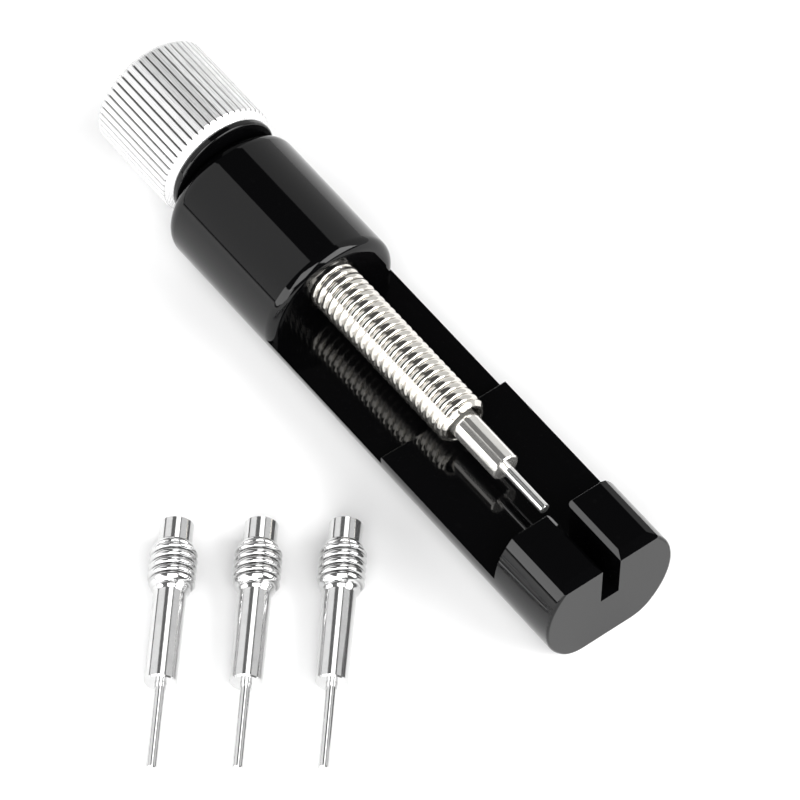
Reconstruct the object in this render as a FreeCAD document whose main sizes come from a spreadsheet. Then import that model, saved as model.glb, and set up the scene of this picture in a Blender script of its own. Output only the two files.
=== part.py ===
"""A screw-driven pin remover for watch bracelets, with three loose spare tips.

The tool lies along X and rests on its bottom flat. X = 0 is the anvil's inner face, which
the bracelet leans on, Y = 0 is the plane of symmetry and Z = 0 is the bottom flat. A
clockwise turn of the knob drives the needle towards the anvil. Sizes are in millimetres.
"""

import FreeCAD, Part
import math
import os
import re

import Sketcher

SIZES = (
    # the frame
    ("bar_diameter", 14.0),
    ("bottom_cut", 1.1),
    ("anvil_length", 7.5),
    ("anvil_rise", 4.95),
    ("seat_length", 16.4),
    ("channel_length", 16.1),
    ("channel_depth", 1.1),
    ("barrel_length", 16.3),
    ("neck_length", 0.7),
    ("neck_rise", 1.1),
    ("slot_width", 2.0),
    ("front_rim_round", 1.0),
    ("rear_rim_round", 1.5),
    ("bottom_edge_round", 3.2),
    ("anvil_bevel", 0.4),
    ("anvil_front_bevel", 0.9),
    ("anvil_front_drop", 0.4),
    ("anvil_rim_round", 0.25),
    ("slot_mouth_round", 0.35),
    ("anvil_face_round", 0.12),
    ("seat_lip_round", 0.15),
    ("neck_round", 0.2),
    # the spindle and its knob
    ("floor_gap", 0.15),
    ("spindle_diameter", 4.9),
    ("spindle_pitch", 0.8),
    ("spindle_reach", 19.1),
    ("spindle_clearance", 0.08),
    ("bore_chamfer", 0.2),
    ("knob_diameter", 12.0),
    ("knob_length", 11.0),
    ("knob_front_chamfer", 0.7),
    ("knob_rear_chamfer", 0.5),
    ("knob_gap", 0.1),
    ("knurl_count", 52),
    ("knurl_depth", 0.22),
    ("knurl_width", 0.25),
    ("shank_diameter", 4.0),
    ("shank_length", 8.0),
    # the tips
    ("socket_wall", 0.2),
    ("tip_clearance", 0.05),
    ("tip_pitch", 0.8),
    ("head_step", 0.1),
    ("head_length", 2.3),
    ("tip_thread_length", 5.1),
    ("tip_thread_lead", 1.2),
    ("sleeve_step", 0.4),
    ("sleeve_chamfer", 0.12),
    ("holder_length", 16.4),
    ("fitted_sleeve_out", 6.0),
    ("needle_diameter", 1.0),
    ("needle_clearance", 0.02),
    ("needle_chamfer", 0.08),
    ("needle_seat_depth", 5.0),
    ("fitted_needle_out", 5.6),
    ("spare_needle_out", 8.6),
    ("spare_thread_diameter", 4.3),
    ("spare_sleeve_diameter", 2.95),
    # where the spare tips lie, measured to the middle tip's rear end
    ("spare_middle_x", -18.8),
    ("spare_middle_y", -18.4),
    ("spare_spacing", 7.5),
    ("spare_row_angle", 53.2),
    ("spare_tip_angle", -41.8),
)

SPARE_COUNT = 3

# A thread's depth and crest, as shares of its pitch, and the slope of its flanks.
THREAD_DEPTH = 0.5
THREAD_CREST = 0.25
FLANK_SLOPE = math.tan(math.radians(30.0))
# A tooth's outline starts this share of the pitch under the surface that it stands on.
THREAD_BITE = 0.02

ALIASES = {alias for alias, _ in SIZES}

doc = FreeCAD.newDocument("PinRemover")
sheet = doc.addObject("Spreadsheet::Sheet", "Sizes")
for row, (alias, value) in enumerate(SIZES, start=1):
    sheet.set(f"A{row}", alias)
    sheet.set(f"B{row}", str(value))
    sheet.setAlias(f"B{row}", alias)
doc.recompute()

# Along the tool, from the anvil's inner face back to the knob.
SEAT_REAR = "( -seat_length )"
BARREL_FRONT = "( -seat_length - channel_length )"
BARREL_REAR = "( -seat_length - channel_length - barrel_length )"
NECK_REAR = "( -seat_length - channel_length - barrel_length - neck_length )"
KNOB_FRONT = "( -seat_length - channel_length - barrel_length - neck_length - knob_gap )"

# Heights from the screw line. The seat is cut to the bar's centre.
SEAT = "( -spindle_diameter / 2 - floor_gap )"
CHANNEL = f"( {SEAT} - channel_depth )"
ANVIL_TOP = f"( {SEAT} + anvil_rise )"
BAR_TOP = f"( {SEAT} + bar_diameter / 2 )"
BOTTOM = f"( {SEAT} - bar_diameter / 2 + bottom_cut )"

# Radii on the screw line. The neck stands above the bar, and from the spindle inwards
# each radius is set by the one outside it.
NECK = f"( {BAR_TOP} + neck_rise )"
SPINDLE_CREST = "( spindle_diameter / 2 )"
SPINDLE_ROOT = f"( {SPINDLE_CREST} - {THREAD_DEPTH} * spindle_pitch )"
SOCKET_MOUTH = f"( {SPINDLE_ROOT} - socket_wall )"
TIP_CREST = f"( {SOCKET_MOUTH} - tip_clearance )"
TIP_ROOT = f"( {TIP_CREST} - {THREAD_DEPTH} * tip_pitch )"
SLEEVE = f"( {TIP_CREST} - sleeve_step )"
HEAD = f"( {TIP_ROOT} - head_step )"

# Along the spindle, from the knob's front face.
SPINDLE_LENGTH = "( knob_gap + neck_length + barrel_length + spindle_reach )"
SOCKET_BOTTOM = f"( {SPINDLE_LENGTH} + fitted_sleeve_out - holder_length )"
SHOULDER = "( head_length + tip_thread_length )"

# The loose tips are a stouter kind. Each has a head as thick as its sleeve.
SPARE_CREST = "( spare_thread_diameter / 2 )"
SPARE_SLEEVE = "( spare_sleeve_diameter / 2 )"


def cells(expression):
    """An expression with every alias in it turned into its cell's full name."""

    def full_name(match):
        word = match.group()
        return f"Sizes.{word}" if word in ALIASES else word

    return re.sub(r"[a-z_]+", full_name, expression)


def at(expression):
    """The present value of an expression."""
    return float(sheet.evalExpression(cells(expression)))


# --- sketches and features ---------------------------------------------------------------


def new_body(label):
    body = doc.addObject("PartDesign::Body", label)
    body.Label = label
    return body


def new_sketch(body, name, role, offset=None):
    """An empty sketch on one of the body's origin planes, moved along the plane's normal."""
    sketch = body.newObject("Sketcher::SketchObject", name)
    plane = next(item for item in body.Origin.OriginFeatures if item.Role == role)
    sketch.AttachmentSupport = (plane, [""])
    sketch.MapMode = "FlatFace"
    if offset:
        sketch.setExpression("AttachmentOffset.Base.z", cells(offset))
    return sketch


def place_point(sketch, geometry, point, name, place):
    """Ties one point of a sketch to two expressions, measured from the sketch's origin."""
    for kind, letter, expression in zip(("DistanceX", "DistanceY"), "xy", place):
        constraint = Sketcher.Constraint(kind, -1, 1, geometry, point, at(expression))
        index = sketch.addConstraint(constraint)
        sketch.renameConstraint(index, f"{name}{letter}")
        sketch.setExpression(f"Constraints.{name}{letter}", cells(expression))


def outline(body, name, role, corners):
    """A closed outline of straight lines. Each corner is a pair of expressions."""
    sketch = new_sketch(body, name, role)
    spots = [FreeCAD.Vector(at(across), at(up), 0) for across, up in corners]
    count = len(spots)
    for index in range(count):
        line = Part.LineSegment(spots[index], spots[(index + 1) % count])
        sketch.addGeometry(line, False)
    for index in range(count):
        following = (index + 1) % count
        sketch.addConstraint(Sketcher.Constraint("Coincident", index, 2, following, 1))
    for index, place in enumerate(corners):
        place_point(sketch, index, 1, f"corner{index}", place)
    return sketch


def circle(body, name, role, centre, diameter, offset=None):
    sketch = new_sketch(body, name, role, offset)
    middle = FreeCAD.Vector(at(centre[0]), at(centre[1]), 0)
    ring = Part.Circle(middle, FreeCAD.Vector(0, 0, 1), at(diameter) / 2)
    sketch.addGeometry(ring, False)
    place_point(sketch, 0, 3, "centre", centre)
    index = sketch.addConstraint(Sketcher.Constraint("Diameter", 0, at(diameter)))
    sketch.renameConstraint(index, "diameter")
    sketch.setExpression("Constraints.diameter", cells(diameter))
    return sketch


def feature(body, kind, name, sketch):
    item = body.newObject(f"PartDesign::{kind}", name)
    item.Profile = sketch
    return item


def pad(body, name, sketch, forward, backward=None):
    item = feature(body, "Pad", name, sketch)
    item.setExpression("Length", cells(forward))
    if backward:
        item.SideType = "Two sides"
        item.setExpression("Length2", cells(backward))


def pocket(body, name, sketch, length):
    """Cuts the outline to a length along the normal of its sketch."""
    item = feature(body, "Pocket", name, sketch)
    item.setExpression("Length", cells(length))
    item.Reversed = True
    return item


def pocket_through(body, name, sketch):
    """Cuts the outline right through, on both sides of its sketch."""
    item = feature(body, "Pocket", name, sketch)
    item.SideType = "Symmetric"
    item.Type = "ThroughAll"


def turn(body, kind, name, corners):
    """A Revolution or Groove about the X axis. Corners are (along X, radius)."""
    sketch = outline(body, name + "Profile", "XZ_Plane", corners)
    item = feature(body, kind, name, sketch)
    item.ReferenceAxis = (sketch, ["H_Axis"])
    item.Angle = 360


def thread(body, kind, name, tooth, crest, pitch, length, growth="0"):
    """A right-hand thread along +X, whose first tooth is centred on X = tooth.

    growth widens the tooth on each side, which makes room in an internal thread.
    """
    half_crest = f"( {THREAD_CREST / 2} * {pitch} + {growth} )"
    depth = f"( {THREAD_DEPTH + THREAD_BITE} * {pitch} )"
    half_root = f"( {half_crest} + {depth} * {FLANK_SLOPE} )"
    corners = (
        (f"{tooth} - {half_root}", f"{crest} - {depth}"),
        (f"{tooth} - {half_crest}", crest),
        (f"{tooth} + {half_crest}", crest),
        (f"{tooth} + {half_root}", f"{crest} - {depth}"),
    )
    sketch = outline(body, name + "Profile", "XZ_Plane", corners)
    item = feature(body, kind, name, sketch)
    item.ReferenceAxis = (sketch, ["H_Axis"])
    item.Mode = "pitch-height-angle"
    item.setExpression("Pitch", cells(pitch))
    item.setExpression("Height", cells(length))


def soften(body, name, alias, chosen, kind="Fillet"):
    """A fillet or chamfer on every edge of the body's last feature whose box is chosen."""
    doc.recompute()
    base = body.Tip
    names = []
    for index, edge in enumerate(base.Shape.Edges, start=1):
        if chosen(edge.BoundBox):
            names.append(f"Edge{index}")
    item = body.newObject(f"PartDesign::{kind}", name)
    item.Base = (base, names)
    item.setExpression("Size" if kind == "Chamfer" else "Radius", cells(alias))


def near(value, target):
    return abs(value - target) < 1e-3


def flat_in_x(box, place):
    return near(box.XMin, place) and near(box.XMax, place)


def flat_in_z(box, height):
    return near(box.ZMin, height) and near(box.ZMax, height)


# --- the frame ---------------------------------------------------------------------------


def make_frame():
    """One round bar cut down to a barrel, an open channel, a seat and a slotted anvil."""
    body = new_body("frame")
    bar = circle(body, "BarSection", "YZ_Plane", ("0", SEAT), "bar_diameter")
    pad(body, "Bar", bar, "anvil_length", "seat_length + channel_length + barrel_length")
    below = (
        ("-bar_diameter", f"{BOTTOM} - bar_diameter"),
        ("bar_diameter", f"{BOTTOM} - bar_diameter"),
        ("bar_diameter", BOTTOM),
        ("-bar_diameter", BOTTOM),
    )
    pocket_through(body, "BottomFlat", outline(body, "BottomSection", "YZ_Plane", below))
    steps = (
        (BARREL_FRONT, "bar_diameter"),
        (BARREL_FRONT, CHANNEL),
        (SEAT_REAR, CHANNEL),
        (SEAT_REAR, SEAT),
        ("0", SEAT),
        ("0", ANVIL_TOP),
        ("anvil_length - anvil_front_bevel", ANVIL_TOP),
        ("anvil_length", f"{ANVIL_TOP} - anvil_front_drop"),
        ("anvil_length * 2", f"{ANVIL_TOP} - anvil_front_drop"),
        ("anvil_length * 2", "bar_diameter"),
    )
    pocket_through(body, "TopSteps", outline(body, "StepProfile", "XZ_Plane", steps))
    slot = (
        ("-slot_width / 2", SEAT),
        ("slot_width / 2", SEAT),
        ("slot_width / 2", "bar_diameter"),
        ("-slot_width / 2", "bar_diameter"),
    )
    slot_sketch = outline(body, "SlotSection", "YZ_Plane", slot)
    pocket(body, "AnvilSlot", slot_sketch, "anvil_length")
    soften_bar(body)
    add_neck(body)
    thread_bore(body)
    return body


def soften_bar(body):
    """The rounded rims of the barrel and the eased edges of the anvil and the seat."""
    bottom = at(BOTTOM)
    bar_top = at(BAR_TOP)
    anvil_top = at(ANVIL_TOP)
    anvil_length = at("anvil_length")
    seat = at(SEAT)
    seat_rear = at(SEAT_REAR)

    def bottom_edge(box):
        return flat_in_z(box, bottom) and box.XLength > anvil_length

    def barrel_rim(place):
        return lambda box: flat_in_x(box, place) and near(box.ZMax, bar_top)

    def slot_mouth(box):
        return flat_in_x(box, 0) and near(box.YLength, 0) and near(box.ZMin, seat)

    def anvil_side(box):
        return flat_in_z(box, anvil_top) and not near(box.XLength, 0)

    def anvil_rim(box):
        curved = not near(box.YLength, 0) and not near(box.ZLength, 0)
        return flat_in_x(box, anvil_length) and (curved or flat_in_z(box, bottom))

    def anvil_face_top(box):
        return flat_in_x(box, 0) and flat_in_z(box, anvil_top)

    def seat_lip(box):
        return flat_in_x(box, seat_rear) and flat_in_z(box, seat)

    soften(body, "BottomEdges", "bottom_edge_round", bottom_edge)
    soften(body, "FrontRim", "front_rim_round", barrel_rim(at(BARREL_FRONT)))
    soften(body, "RearRim", "rear_rim_round", barrel_rim(at(BARREL_REAR)))
    soften(body, "AnvilBevels", "anvil_bevel", anvil_side, "Chamfer")
    soften(body, "AnvilFaceTop", "anvil_face_round", anvil_face_top)
    soften(body, "SlotMouth", "slot_mouth_round", slot_mouth)
    soften(body, "AnvilRim", "anvil_rim_round", anvil_rim)
    soften(body, "SeatLip", "seat_lip_round", seat_lip)


def add_neck(body):
    """The knob's stop, a disc about the screw line that stands above the barrel."""
    neck = circle(body, "NeckSection", "YZ_Plane", ("0", "0"), f"2 * {NECK}", NECK_REAR)
    pad(body, "Neck", neck, "neck_length")
    top = at(NECK)
    rear = at(NECK_REAR)
    front = at(BARREL_REAR)

    def neck_rim(box):
        on_face = flat_in_x(box, rear) or flat_in_x(box, front)
        return on_face and near(box.ZMax, top)

    soften(body, "NeckRims", "neck_round", neck_rim)


def thread_bore(body):
    """The threaded bore for the spindle, with a chamfer at each mouth."""
    bore = f"( {SPINDLE_ROOT} + spindle_clearance )"
    mouth = f"( {SPINDLE_CREST} + spindle_clearance + bore_chamfer )"
    corners = (
        (f"{NECK_REAR} - spindle_pitch", "0"),
        (f"{BARREL_FRONT} + spindle_pitch", "0"),
        (f"{BARREL_FRONT} + spindle_pitch", mouth),
        (BARREL_FRONT, mouth),
        (f"{BARREL_FRONT} - ( {mouth} - {bore} )", bore),
        (f"{NECK_REAR} + ( {mouth} - {bore} )", bore),
        (NECK_REAR, mouth),
        (f"{NECK_REAR} - spindle_pitch", mouth),
    )
    turn(body, "Groove", "Bore", corners)
    thread(
        body,
        "SubtractiveHelix",
        "BoreThread",
        f"( {KNOB_FRONT} - spindle_pitch )",
        f"( {SPINDLE_CREST} + spindle_clearance )",
        "spindle_pitch",
        "barrel_length + neck_length + 3 * spindle_pitch",
        "spindle_clearance / 2",
    )


# --- the spindle and its knob, with X = 0 at the knob's front face -----------------------


def make_spindle():
    """The long screw, plain where it sits in the knob and tapped at its front end."""
    body = new_body("spindle")
    core = (
        ("-shank_length", "0"),
        (SPINDLE_LENGTH, "0"),
        (SPINDLE_LENGTH, SPINDLE_ROOT),
        ("0", SPINDLE_ROOT),
        ("0", "shank_diameter / 2"),
        ("-shank_length", "shank_diameter / 2"),
    )
    turn(body, "Revolution", "Core", core)
    thread(
        body,
        "AdditiveHelix",
        "Thread",
        "spindle_pitch",
        SPINDLE_CREST,
        "spindle_pitch",
        f"{SPINDLE_LENGTH} - spindle_pitch",
    )
    # The thread runs past the front end and is cut off there, with a chamfer.
    beyond = f"( {SPINDLE_LENGTH} + 2 * spindle_pitch )"
    outside = f"( {SPINDLE_CREST} + spindle_pitch )"
    front = (
        (SPINDLE_LENGTH, "0"),
        (beyond, "0"),
        (beyond, outside),
        (f"{SPINDLE_LENGTH} - ( {outside} - {SPINDLE_ROOT} )", outside),
        (SPINDLE_LENGTH, SPINDLE_ROOT),
    )
    turn(body, "Groove", "FrontChamfer", front)
    tap_socket(body)
    return body


def tap_socket(body):
    """The blind hole for a tip: tapped at the bottom, and wide enough in front of that."""
    drill = f"( {TIP_ROOT} + tip_clearance )"
    tapped_from = f"( {SOCKET_BOTTOM} + head_length )"
    tapped_to = f"( {SOCKET_BOTTOM} + {SHOULDER} )"
    corners = (
        (SOCKET_BOTTOM, "0"),
        (f"{SPINDLE_LENGTH} + spindle_pitch", "0"),
        (f"{SPINDLE_LENGTH} + spindle_pitch", SOCKET_MOUTH),
        (tapped_to, SOCKET_MOUTH),
        (tapped_to, drill),
        (SOCKET_BOTTOM, drill),
    )
    turn(body, "Groove", "Socket", corners)
    thread(
        body,
        "SubtractiveHelix",
        "SocketThread",
        f"( {tapped_from} + tip_pitch / 2 )",
        SOCKET_MOUTH,
        "tip_pitch",
        "tip_thread_length + tip_pitch / 2",
        "tip_clearance / 2",
    )


def make_knob():
    """The knob with its straight knurl, pressed on the spindle's plain end."""
    body = new_body("knob")
    rim = "( knob_diameter / 2 )"
    corners = (
        ("-knob_length", "0"),
        ("-shank_length", "0"),
        ("-shank_length", "shank_diameter / 2"),
        ("0", "shank_diameter / 2"),
        ("0", f"{rim} - knob_front_chamfer"),
        ("-knob_front_chamfer", rim),
        ("-knob_length + knob_rear_chamfer", rim),
        ("-knob_length", f"{rim} - knob_rear_chamfer"),
    )
    turn(body, "Revolution", "Blank", corners)
    # The notch is knurl_width wide where it meets the rim.
    notch = (
        ("-knurl_width", f"{rim} + knurl_depth"),
        ("0", f"{rim} - knurl_depth"),
        ("knurl_width", f"{rim} + knurl_depth"),
    )
    sketch = outline(body, "NotchSection", "YZ_Plane", notch)
    cut = pocket(body, "KnurlNotch", sketch, "knob_length")
    cut.Reversed = False
    doc.recompute()
    knurl = body.newObject("PartDesign::PolarPattern", "Knurl")
    knurl.Originals = [cut]
    knurl.Axis = (sketch, ["N_Axis"])
    knurl.Angle = 360
    knurl.setExpression("Occurrences", cells("knurl_count"))
    body.Tip = knurl
    return body


# --- the tips, with X = 0 at the holder's rear end ---------------------------------------


def make_tip(name, needle_out, crest, sleeve, head):
    """A threaded holder and the needle that stands out of its sleeve."""
    holder = make_holder(f"{name}_holder", crest, sleeve, head)
    return [holder, make_needle(f"{name}_needle", needle_out)]


def make_holder(label, crest, sleeve, head):
    """A plain head, a short thread and a sleeve with a blind hole for the needle.

    crest, sleeve and head are radii.
    """
    body = new_body(label)
    root = f"( {crest} - {THREAD_DEPTH} * tip_pitch )"
    hole = "( needle_diameter / 2 + needle_clearance )"
    hole_bottom = "( holder_length - needle_seat_depth )"
    corners = [
        ("0", "0"),
        (hole_bottom, "0"),
        (hole_bottom, hole),
        ("holder_length", hole),
        ("holder_length", f"{sleeve} - sleeve_chamfer"),
        ("holder_length - sleeve_chamfer", sleeve),
        (SHOULDER, sleeve),
        (SHOULDER, root),
        ("head_length", root),
        ("head_length", head),
        ("sleeve_chamfer", head),
        ("0", f"{head} - sleeve_chamfer"),
    ]
    if near(at(sleeve), at(root)):
        corners.remove((SHOULDER, root))
    turn(body, "Revolution", "Blank", corners)
    thread(
        body,
        "AdditiveHelix",
        "Thread",
        "( head_length + tip_pitch / 2 )",
        crest,
        "tip_pitch",
        "tip_thread_length - tip_pitch",
    )
    # Both ends of the thread run out under a cone, tip_thread_lead long at the crest.
    outside = f"( {crest} + tip_pitch )"
    reach = f"( tip_thread_lead * ( {outside} - {root} ) / ( {crest} - {root} ) )"
    for name, end, way in (("Rear", "head_length", "+"), ("Front", SHOULDER, "-")):
        wedge = (
            (end, root),
            (end, outside),
            (f"{end} {way} {reach}", outside),
        )
        turn(body, "Groove", f"RunOut{name}", wedge)
    return body


def make_needle(label, needle_out):
    """A hard steel pin with a flat end."""
    body = new_body(label)
    rear = "( holder_length - needle_seat_depth + needle_clearance )"
    end = f"( holder_length + {needle_out} )"
    corners = (
        (rear, "0"),
        (end, "0"),
        (end, "needle_diameter / 2 - needle_chamfer"),
        (f"{end} - needle_chamfer", "needle_diameter / 2"),
        (rear, "needle_diameter / 2"),
    )
    turn(body, "Revolution", "Shaft", corners)
    return body


def set_place(bodies, place):
    """Moves bodies to a place given by three expressions."""
    for body in bodies:
        for letter, expression in zip("xyz", place):
            body.setExpression(f"Placement.Base.{letter}", cells(expression))


def make_spare_tips():
    """The loose tips, side by side on the surface that the tool rests on.

    Each one touches it with its last full turn of thread and its sleeve's end, so it leans.
    """
    last_turn = f"( {SHOULDER} - tip_thread_lead )"
    drop = at(f"{SPARE_CREST} - {SPARE_SLEEVE}")
    lean = math.atan2(drop, at(f"holder_length - {last_turn}"))
    rise = f"( {SPARE_CREST} * {math.cos(lean)} + {last_turn} * {math.sin(lean)} )"
    swing = FreeCAD.Rotation(FreeCAD.Vector(0, 0, 1), at("spare_tip_angle"))
    tilt = FreeCAD.Rotation(FreeCAD.Vector(0, 1, 0), math.degrees(lean))
    bodies = []
    for index in range(SPARE_COUNT):
        step = f"spare_spacing * {index - (SPARE_COUNT - 1) / 2}"
        along = f"spare_middle_x + {step} * cos( spare_row_angle * 1 deg )"
        across = f"spare_middle_y + {step} * sin( spare_row_angle * 1 deg )"
        radii = (SPARE_CREST, SPARE_SLEEVE, SPARE_SLEEVE)
        tip = make_tip(f"spare_tip_{index + 1}", "spare_needle_out", *radii)
        for body in tip:
            body.Placement.Rotation = swing * tilt
        set_place(tip, (along, across, rise))
        bodies += tip
    return bodies


# --- the whole tool ----------------------------------------------------------------------

SCREW_HEIGHT = f"( -{BOTTOM} )"

frame = make_frame()
spindle = make_spindle()
knob = make_knob()
fitted_tip = make_tip("tip", "fitted_needle_out", TIP_CREST, SLEEVE, HEAD)
set_place([frame], ("0", "0", SCREW_HEIGHT))
set_place([spindle, knob], (KNOB_FRONT, "0", SCREW_HEIGHT))
set_place(fitted_tip, (f"{KNOB_FRONT} + {SOCKET_BOTTOM}", "0", SCREW_HEIGHT))
subparts = [frame, spindle, knob] + fitted_tip + make_spare_tips()
doc.recompute()

for item in doc.Objects:
    if "Invalid" in item.State or "Error" in item.State:
        raise RuntimeError(f"{item.Label} failed: {item.State}")
for body in subparts:
    shape = body.Shape
    if shape.isNull() or not shape.isValid() or len(shape.Solids) != 1:
        raise RuntimeError(f"{body.Label} isn't one valid solid")

os.makedirs("parts", exist_ok=True)
for body in subparts:
    body.Shape.exportStep(f"parts/{body.Label}.step")
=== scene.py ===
"""Looks for the pin remover: gloss black paint, bright nickel and turned aluminium.

Everything is in metres in the CAD frame: the tool lies along X, and Z = 0 is the floor.
"""

import math

import bpy
from mathutils import Matrix, Vector


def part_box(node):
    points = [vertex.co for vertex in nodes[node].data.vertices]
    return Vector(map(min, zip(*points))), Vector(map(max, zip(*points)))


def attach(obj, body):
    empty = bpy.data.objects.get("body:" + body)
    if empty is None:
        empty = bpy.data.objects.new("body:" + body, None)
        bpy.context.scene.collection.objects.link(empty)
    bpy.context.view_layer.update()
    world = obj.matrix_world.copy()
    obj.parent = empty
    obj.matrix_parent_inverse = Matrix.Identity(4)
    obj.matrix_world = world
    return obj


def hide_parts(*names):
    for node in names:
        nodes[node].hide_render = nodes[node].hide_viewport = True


MM = 0.001

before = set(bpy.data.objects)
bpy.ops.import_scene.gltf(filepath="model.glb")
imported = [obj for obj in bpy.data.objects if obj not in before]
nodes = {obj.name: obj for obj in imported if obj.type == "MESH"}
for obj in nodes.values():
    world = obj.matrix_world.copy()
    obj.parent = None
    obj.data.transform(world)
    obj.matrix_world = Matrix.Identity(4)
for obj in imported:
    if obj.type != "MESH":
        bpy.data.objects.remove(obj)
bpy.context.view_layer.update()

# --- the tool's own places, read from the frame ------------------------------------------

SPINDLE_LOW, SPINDLE_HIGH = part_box("spindle")
KNOB_LOW, KNOB_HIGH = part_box("knob")
ANVIL_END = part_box("frame")[1].x
AXIS_HEIGHT = (SPINDLE_LOW.z + SPINDLE_HIGH.z) / 2
KNOB_RADIUS = (KNOB_HIGH.y - KNOB_LOW.y) / 2
KNOB_MIDDLE = (KNOB_HIGH.x + KNOB_LOW.x) / 2
SPARES = (1, 2, 3)

# --- sizes of the turned pieces, in metres -----------------------------------------------

PITCH = 0.8 * MM

SPINDLE_CREST = 2.45 * MM
SPINDLE_GROOVE = 0.36 * MM
SPINDLE_THREAD = 35.5 * MM
SPINDLE_LEAD = 0.45 * MM
SPINDLE_RUNOUT = 0.3 * MM
SHANK_RADIUS = 2.0 * MM
SHANK_CHAMFER = 0.15 * MM
SOCKET_RADIUS = 1.85 * MM
SOCKET_DEPTH = 10.6 * MM
SOCKET_CHAMFER = 0.06 * MM

TIP_LENGTH = 25.0 * MM
TIP_CREST = 2.15 * MM
TIP_GROOVE = 0.5 * MM
TIP_THREAD = 5.1 * MM
TIP_LEAD = 0.9 * MM
TIP_RUNOUT = 1.2 * MM
HOLDER_LENGTH = 16.4 * MM
HOLDER_CHAMFER = 0.12 * MM
HEAD_RADIUS = 1.5 * MM
HEAD_LENGTH = 2.3 * MM
SLEEVE_RADIUS = 1.475 * MM
NEEDLE_SEAT = 5.0 * MM
NEEDLE_HOLE = 0.52 * MM
NEEDLE_END = 0.05 * MM

# A thread starts and ends on a step this long, with a groove this deep.
STEP = 0.02 * MM
HAIRLINE = 0.001 * MM


# --- threads -----------------------------------------------------------------------------

AROUND = 72
RINGS_PER_PITCH = 14
CREST_PHASE = 0.25
CREST_FULLNESS = 2.4
SHARP_ANGLE = math.radians(38)


def ridge(along, angle, groove):
    """How far the surface lies under the crest of a rolled, round-topped thread."""
    turn = along / PITCH - angle / (2 * math.pi) + CREST_PHASE
    across = abs(2 * (turn - math.floor(turn)) - 1)
    return groove * (1 - math.sqrt(max(0.0, 1 - (1 - across) ** CREST_FULLNESS)))


def turned(name, placing, profile):
    """A piece turned about its own X axis. Profile holds (along, radius, groove depth)."""
    rings = []
    for (x0, r0, g0), (x1, r1, g1) in zip(profile, profile[1:]):
        threaded = g0 or g1
        count = max(1, round(abs(x1 - x0) / PITCH * RINGS_PER_PITCH)) if threaded else 1
        for step in range(count):
            part = step / count
            rings.append((x0 + (x1 - x0) * part, r0 + (r1 - r0) * part, g0 + (g1 - g0) * part))
    rings.append(profile[-1])
    points = []
    for along, radius, groove in rings:
        for spoke in range(AROUND):
            angle = 2 * math.pi * spoke / AROUND
            reach = radius - (ridge(along, angle, groove) if groove else 0.0)
            points.append((along, reach * math.cos(angle), reach * math.sin(angle)))
    faces = []
    for ring in range(len(rings) - 1):
        for spoke in range(AROUND):
            first = ring * AROUND + spoke
            second = ring * AROUND + (spoke + 1) % AROUND
            faces.append((first, first + AROUND, second + AROUND, second))
    last = (len(rings) - 1) * AROUND
    faces.append(tuple(range(AROUND)))
    faces.append(tuple(last + spoke for spoke in reversed(range(AROUND))))
    mesh = bpy.data.meshes.new(name)
    mesh.from_pydata(points, [], faces)
    mesh.shade_smooth()
    mesh.set_sharp_from_angle(angle=SHARP_ANGLE)
    item = bpy.data.objects.new(name, mesh)
    bpy.context.scene.collection.objects.link(item)
    item.matrix_world = placing
    return item


def spindle_thread():
    """The long screw: socket, chamfered front, rolled thread and plain shank."""
    front = SPINDLE_HIGH.x
    thread_end = front - SPINDLE_THREAD
    root = SPINDLE_CREST - SPINDLE_GROOVE
    piece = turned("spindle_rolled", Matrix.Translation((0, 0, AXIS_HEIGHT)), [
        (front - SOCKET_DEPTH, SOCKET_RADIUS, 0),
        (front - SOCKET_CHAMFER, SOCKET_RADIUS, 0),
        (front, SOCKET_RADIUS + SOCKET_CHAMFER, 0),
        (front, root, 0),
        (front - STEP, root, HAIRLINE),
        (front - SPINDLE_LEAD, SPINDLE_CREST, SPINDLE_GROOVE),
        (thread_end + SPINDLE_RUNOUT, SPINDLE_CREST, SPINDLE_GROOVE),
        (thread_end, root, HAIRLINE),
        (thread_end, SHANK_RADIUS, 0),
        (SPINDLE_LOW.x + SHANK_CHAMFER, SHANK_RADIUS, 0),
        (SPINDLE_LOW.x, SHANK_RADIUS - SHANK_CHAMFER, 0),
    ])
    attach(piece, "screw")
    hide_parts("spindle")
    return piece


def end_ring(name, toward):
    """The middle of the last ring of vertices of a node in a direction."""
    places = [vertex.co for vertex in nodes[name].data.vertices]
    furthest = max(place.dot(toward) for place in places)
    ring = [place for place in places if place.dot(toward) > furthest - NEEDLE_END]
    return sum(ring, Vector()) / len(ring)


def tip_placing(number):
    """A loose tip's own axes: X runs from the back of its head to the needle's point."""
    holder, needle = f"spare_tip_{number}_holder", f"spare_tip_{number}_needle"
    rough = (sum(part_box(needle), Vector()) - sum(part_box(holder), Vector())).normalized()
    point, heel = end_ring(needle, rough), end_ring(needle, -rough)
    axis = (point - heel).normalized()
    side = Vector((0, 0, 1)).cross(axis).normalized()
    upward = axis.cross(side)
    origin = point - axis * TIP_LENGTH
    return Matrix((
        (axis.x, side.x, upward.x, origin.x),
        (axis.y, side.y, upward.y, origin.y),
        (axis.z, side.z, upward.z, origin.z),
        (0, 0, 0, 1),
    ))


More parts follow.
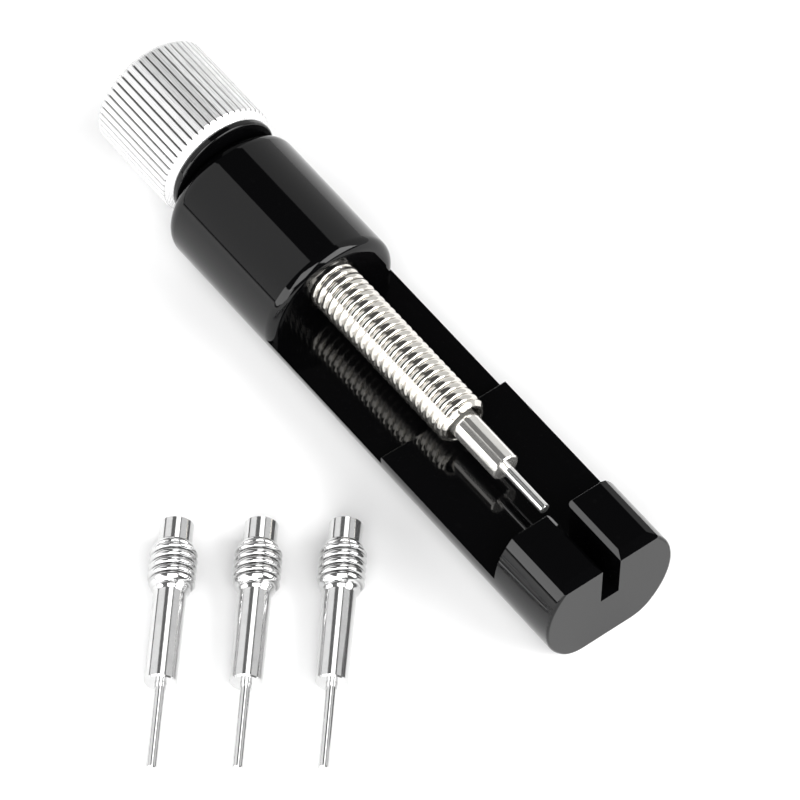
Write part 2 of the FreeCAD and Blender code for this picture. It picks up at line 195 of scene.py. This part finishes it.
def tip_thread(number):
    """A loose tip's holder: plain head, short rolled thread and plain sleeve."""
    thread_end = HEAD_LENGTH + TIP_THREAD
    root = TIP_CREST - TIP_GROOVE
    piece = turned(f"spare_tip_{number}_rolled", tip_placing(number), [
        (0.0, HEAD_RADIUS - HOLDER_CHAMFER, 0),
        (HOLDER_CHAMFER, HEAD_RADIUS, 0),
        (HEAD_LENGTH, HEAD_RADIUS, 0),
        (HEAD_LENGTH, root, 0),
        (HEAD_LENGTH + STEP, root, HAIRLINE),
        (HEAD_LENGTH + TIP_LEAD, TIP_CREST, TIP_GROOVE),
        (thread_end - TIP_RUNOUT, TIP_CREST, TIP_GROOVE),
        (thread_end, SLEEVE_RADIUS, HAIRLINE),
        (thread_end + STEP, SLEEVE_RADIUS, 0),
        (HOLDER_LENGTH - HOLDER_CHAMFER, SLEEVE_RADIUS, 0),
        (HOLDER_LENGTH, SLEEVE_RADIUS - HOLDER_CHAMFER, 0),
        (HOLDER_LENGTH, NEEDLE_HOLE, 0),
        (HOLDER_LENGTH - NEEDLE_SEAT, NEEDLE_HOLE, 0),
    ])
    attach(piece, f"spare_tip_{number}")
    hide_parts(f"spare_tip_{number}_holder")
    return piece


# --- materials ---------------------------------------------------------------------------


# Painted shade: the dark colour mixed into the bottoms of the knurl and thread grooves.
GROOVE_SHADE_COLOUR = (0.02, 0.02, 0.02, 1.0)
GROOVE_SHADE_FADE = 0.1 * MM


class Shader:
    """A material's node tree, with short calls for the nodes that are used here."""

    def __init__(self, name):
        self.material = bpy.data.materials.new(name)
        self.material.use_nodes = True
        self.tree = self.material.node_tree
        self.tree.nodes.clear()
        self.surface = self.add("ShaderNodeBsdfPrincipled")
        output = self.add("ShaderNodeOutputMaterial")
        self.link(self.surface.outputs["BSDF"], output.inputs["Surface"])
        self.place = self.add("ShaderNodeTexCoord").outputs["Object"]

    def add(self, kind, **values):
        """A new node with some of its properties set."""
        node = self.tree.nodes.new(kind)
        for key, value in values.items():
            setattr(node, key, value)
        return node

    def link(self, source, target):
        self.tree.links.new(source, target)

    def set(self, **values):
        """Plain values for the surface. Underscores stand for spaces in socket names."""
        for key, value in values.items():
            self.surface.inputs[key.replace("_", " ")].default_value = value

    def stretched(self, stretch, turn):
        """The object's own coordinates, turned back and then squeezed along each axis."""
        mapping = self.add("ShaderNodeMapping", vector_type="TEXTURE")
        mapping.inputs["Rotation"].default_value = turn
        mapping.inputs["Scale"].default_value = stretch
        self.link(self.place, mapping.inputs["Vector"])
        return mapping.outputs["Vector"]

    def noise(self, size, detail=2.0, stretch=(1.0, 1.0, 1.0), turn=(0.0, 0.0, 0.0)):
        """Noise whose features are about size metres across before they are stretched."""
        node = self.add("ShaderNodeTexNoise")
        node.inputs["Scale"].default_value = 1.0 / size
        node.inputs["Detail"].default_value = detail
        self.link(self.stretched(stretch, turn), node.inputs["Vector"])
        return node.outputs["Fac"]

    def ramp(self, source, low, high, out_low=0.0, out_high=1.0):
        """Source between low and high, eased into the range out_low to out_high."""
        node = self.add("ShaderNodeMapRange", interpolation_type="SMOOTHSTEP")
        node.inputs["From Min"].default_value = low
        node.inputs["From Max"].default_value = high
        node.inputs["To Min"].default_value = out_low
        node.inputs["To Max"].default_value = out_high
        self.link(source, node.inputs["Value"])
        return node.outputs["Result"]

    def colours(self, factor, first, second):
        """First where factor is 0, second where it is 1."""
        node = self.add("ShaderNodeMix", data_type="RGBA")
        node.inputs[6].default_value = (*first, 1.0)
        node.inputs[7].default_value = (*second, 1.0)
        self.link(factor, node.inputs[0])
        return node.outputs[2]

    def distance(self, offset, axes):
        """How far a point is from an offset, counted along the axes marked with 1."""
        mapping = self.add("ShaderNodeMapping")
        mapping.inputs["Location"].default_value = offset
        mapping.inputs["Scale"].default_value = axes
        self.link(self.place, mapping.inputs["Vector"])
        length = self.add("ShaderNodeVectorMath", operation="LENGTH")
        self.link(mapping.outputs["Vector"], length.inputs[0])
        return length.outputs["Value"]

    def with_groove_shade(self, tint, height, bottom, top, darkness, middle, half):
        """Tint with painted shade, darker where furrows round a line along X at height dip
        below the radius top.

        The painted shade is darkest at the radius bottom, and only within half of the place
        middle on X.
        """
        radius = self.distance((0.0, 0.0, -height), (0.0, 1.0, 1.0))
        reach = self.distance((-middle, 0.0, 0.0), (1.0, 0.0, 0.0))
        both = self.add("ShaderNodeMath", operation="MULTIPLY")
        self.link(self.ramp(radius, bottom, top, darkness, 0.0), both.inputs[0])
        self.link(self.ramp(reach, half, half + GROOVE_SHADE_FADE, 1.0, 0.0), both.inputs[1])
        # Painted shade: the groove colour is mixed in wherever the mask is above zero.
        mix = self.add("ShaderNodeMix", data_type="RGBA")
        mix.inputs[7].default_value = GROOVE_SHADE_COLOUR
        self.link(both.outputs["Value"], mix.inputs[0])
        self.link(tint, mix.inputs[6])
        return mix.outputs[2]

    def bump(self, source, depth):
        """Relief up to depth metres high where source is 1."""
        node = self.add("ShaderNodeBump")
        node.inputs["Strength"].default_value = 1.0
        node.inputs["Distance"].default_value = depth
        self.link(source, node.inputs["Height"])
        self.link(node.outputs["Normal"], self.surface.inputs["Normal"])


def black_paint():
    """Thick gloss black: faint orange peel, a slightly uneven gloss and rubbed specks."""
    fresh, rubbed = (0.0012, 0.0012, 0.0014), (0.0022, 0.0022, 0.0024)
    speck_size, cloud_size, peel_size = 0.9 * MM, 6 * MM, 0.55 * MM
    peel_depth = 0.0007 * MM
    shader = Shader("gloss_black_paint")
    rub = shader.ramp(shader.noise(speck_size, 3.0), 0.62, 0.80)
    gloss = shader.ramp(shader.noise(cloud_size), 0.3, 0.7, 0.03, 0.07)
    shader.link(shader.colours(rub, fresh, rubbed), shader.surface.inputs["Base Color"])
    shader.link(gloss, shader.surface.inputs["Roughness"])
    shader.set(IOR=1.38)
    shader.bump(shader.noise(peel_size, 1.0), peel_depth)
    return shader.material


MARK_WIDTH = 0.05 * MM
MARK_STRETCH = 40.0
STAIN_SIZE = 1.3 * MM
STAIN_DARKNESS = 0.93


def bright_metal(name, colour, roughness, grain, metallic, lies=0.0, groove_shade=None):
    """Bright metal with fine marks round a line that lies at an angle from X.

    Painted groove shade, when a piece has it, is given as the values that the Shader's
    groove-shading method takes after tint.
    """
    shader = Shader(name)
    shader.set(Metallic=metallic)
    stretch = (1.0, MARK_STRETCH, MARK_STRETCH)
    marks = shader.noise(MARK_WIDTH, stretch=stretch, turn=(0.0, 0.0, lies))
    stain = shader.ramp(shader.noise(STAIN_SIZE, 3.0), 0.35, 0.75)
    stained = tuple(part * STAIN_DARKNESS for part in colour)
    tint = shader.colours(stain, colour, stained)
    if groove_shade:
        tint = shader.with_groove_shade(tint, *groove_shade)
    gloss = shader.ramp(marks, 0.3, 0.7, roughness * 0.88, roughness * 1.12)
    shader.link(tint, shader.surface.inputs["Base Color"])
    shader.link(gloss, shader.surface.inputs["Roughness"])
    shader.bump(marks, grain)
    return shader.material


def floor_paint():
    """Matt, nearly white card with very faint clouds."""
    shader = Shader("pale_floor")
    cloud = shader.noise(40 * MM, 3.0)
    tint = shader.colours(cloud, (0.94, 0.94, 0.94), (0.96, 0.96, 0.96))
    shader.link(tint, shader.surface.inputs["Base Color"])
    shader.set(Roughness=0.9, Specular_IOR_Level=0.0)
    return shader.material


def give(material, *pieces):
    for piece in pieces:
        piece.data.materials.clear()
        piece.data.materials.append(material)


ALONG_X = math.radians(90)
LOOSE_TIP_LIES = math.radians(-41.8)
FINE_GRAIN = 0.0002 * MM
KNOB_GRAIN = 0.00005 * MM

# Painted shade in the knob's knurl grooves and in the loose tips' thread grooves.
KNURL_GROOVE_SHADE = (
    AXIS_HEIGHT,
    KNOB_RADIUS - 0.16 * MM,
    KNOB_RADIUS - 0.02 * MM,
    0.85,
    KNOB_MIDDLE,
    4.85 * MM,
)
TIP_GROOVE_SHADE = (
    0.0,
    TIP_CREST - 0.42 * MM,
    TIP_CREST - 0.03 * MM,
    0.9,
    HEAD_LENGTH + 2.5 * MM,
    1.7 * MM,
)

spindle = spindle_thread()
holders = [tip_thread(number) for number in SPARES]
needles = [nodes[f"spare_tip_{number}_needle"] for number in SPARES]

# The loose tips' plate and steel colours are darker copies of the fitted tip's plate and steel:
# painted shade on the same metals.
aluminium, nickel, plate = (0.78, 0.78, 0.78), (0.76, 0.735, 0.685), (0.84, 0.825, 0.79)
shaded_plate, steel, shaded_steel = (0.66, 0.66, 0.66), (0.84, 0.84, 0.83), (0.64, 0.64, 0.64)

give(black_paint(), nodes["frame"])
give(bright_metal("turned_aluminium", aluminium, 0.28, KNOB_GRAIN, 0.5, ALONG_X, KNURL_GROOVE_SHADE),
     nodes["knob"])
give(bright_metal("rolled_nickel", nickel, 0.12, FINE_GRAIN, 0.97), spindle)
give(bright_metal("plated_tip", plate, 0.12, FINE_GRAIN, 0.88), nodes["tip_holder"])
# The loose tips get the darker, painted-shade copies of the plate and steel colours.
give(bright_metal("plated_tip_painted_shade", shaded_plate, 0.12, FINE_GRAIN, 0.92, groove_shade=TIP_GROOVE_SHADE),
     *holders)
give(bright_metal("ground_steel", steel, 0.12, FINE_GRAIN, 0.9), nodes["tip_needle"])
give(bright_metal("ground_steel_painted_shade", shaded_steel, 0.12, FINE_GRAIN, 0.92, LOOSE_TIP_LIES),
     *needles)


# --- floor, lights and camera ------------------------------------------------------------


FLOOR_HALF = 3.0

floor_mesh = bpy.data.meshes.new("floor")
corners = [(-1, -1), (1, -1), (1, 1), (-1, 1)]
floor_mesh.from_pydata([(x * FLOOR_HALF, y * FLOOR_HALF, 0) for x, y in corners], [],
                       [(0, 1, 2, 3)])
floor_mesh.materials.append(floor_paint())
floor = bpy.data.objects.new("floor", floor_mesh)
bpy.context.scene.collection.objects.link(floor)


def softbox(name, place, target, width, height, radiance):
    """A rectangular light at place, facing target. Radiance is its brightness as seen."""
    light = bpy.data.lights.new(name, "AREA")
    light.shape = "RECTANGLE"
    light.size = width
    light.size_y = height
    light.energy = radiance * width * height * math.pi
    item = bpy.data.objects.new(name, light)
    bpy.context.scene.collection.objects.link(item)
    away = (Vector(place) - Vector(target)).normalized()
    facing = away.to_track_quat("Z", "Y").to_matrix().to_4x4()
    item.matrix_world = Matrix.Translation(place) @ facing
    return item


world = bpy.data.worlds.new("studio")
world.use_nodes = True
background = world.node_tree.nodes["Background"]
background.inputs["Color"].default_value = (1, 1, 1, 1)
background.inputs["Strength"].default_value = 0.05
bpy.context.scene.world = world

# Two boxes in front light the floor. The sides have low boxes and the space overhead stays
# dark, which keeps the flat faces of the black bar deep.
softbox("front_left", (0.62, -0.45, 0.75), (0.0, 0.0, 0.0), 0.8, 0.8, 5.4)
softbox("front_right", (0.72, 0.50, 0.55), (0.0, 0.0, 0.0), 0.8, 0.8, 6.0)
softbox("left_box", (-0.372, -0.1708, 0.156), (-0.372, -0.0232, 0.0212), 0.45, 0.382, 1.05)
softbox("left_strip", (0.0585, -0.20, 0.0695), (0.0585, 0.0, 0.0695), 0.383, 0.111, 4.2)
softbox("right_box", (-0.25, 0.3175, 0.163), (-0.25, 0.0507, 0.0262), 1.1, 0.362, 0.7)

# The loose tips have a narrow box that only they catch. It draws a bright line along each.
loose_tips = bpy.data.collections.new("loose_tips")
for piece in holders + needles:
    loose_tips.objects.link(piece)
tips_box = softbox("tips_box", (-0.158, 0.184, 0.437), (-0.018, -0.018, 0.0), 0.20, 0.30, 2.6)
tips_box.light_linking.receiver_collection = loose_tips

bpy.context.scene.view_settings.view_transform = "Standard"

# The camera stands far off with a long lens, turned a little about its own line of sight.
AZIMUTH = math.radians(50.864)
ELEVATION = math.radians(54.152)
ROLL = math.radians(1.935)
DISTANCE = 0.65962
OFF_RIGHT = 0.01841
OFF_UP = 0.01721
AIM_HEIGHT = 0.0059
LENS = 338.1
SENSOR = 36.0
NEAREST = 0.01
back = Vector((
    math.sin(AZIMUTH) * math.cos(ELEVATION),
    -math.cos(AZIMUTH) * math.cos(ELEVATION),
    math.sin(ELEVATION),
))
level = Vector((math.cos(AZIMUTH), math.sin(AZIMUTH), 0.0))
upright = back.cross(level)
right = level * math.cos(ROLL) + upright * math.sin(ROLL)
up = upright * math.cos(ROLL) - level * math.sin(ROLL)
aimed_at = Vector((ANVIL_END, 0.0, AIM_HEIGHT))
place = aimed_at + back * DISTANCE - right * OFF_RIGHT + up * OFF_UP
camera_data = bpy.data.cameras.new("camera")
camera_data.lens = LENS
camera_data.sensor_width = SENSOR
camera_data.clip_start = NEAREST
camera = bpy.data.objects.new("camera", camera_data)
bpy.context.scene.collection.objects.link(camera)
camera.matrix_world = Matrix((
    (right.x, up.x, back.x, place.x),
    (right.y, up.y, back.y, place.y),
    (right.z, up.z, back.z, place.z),
    (0, 0, 0, 1),
))
bpy.context.scene.camera = camera
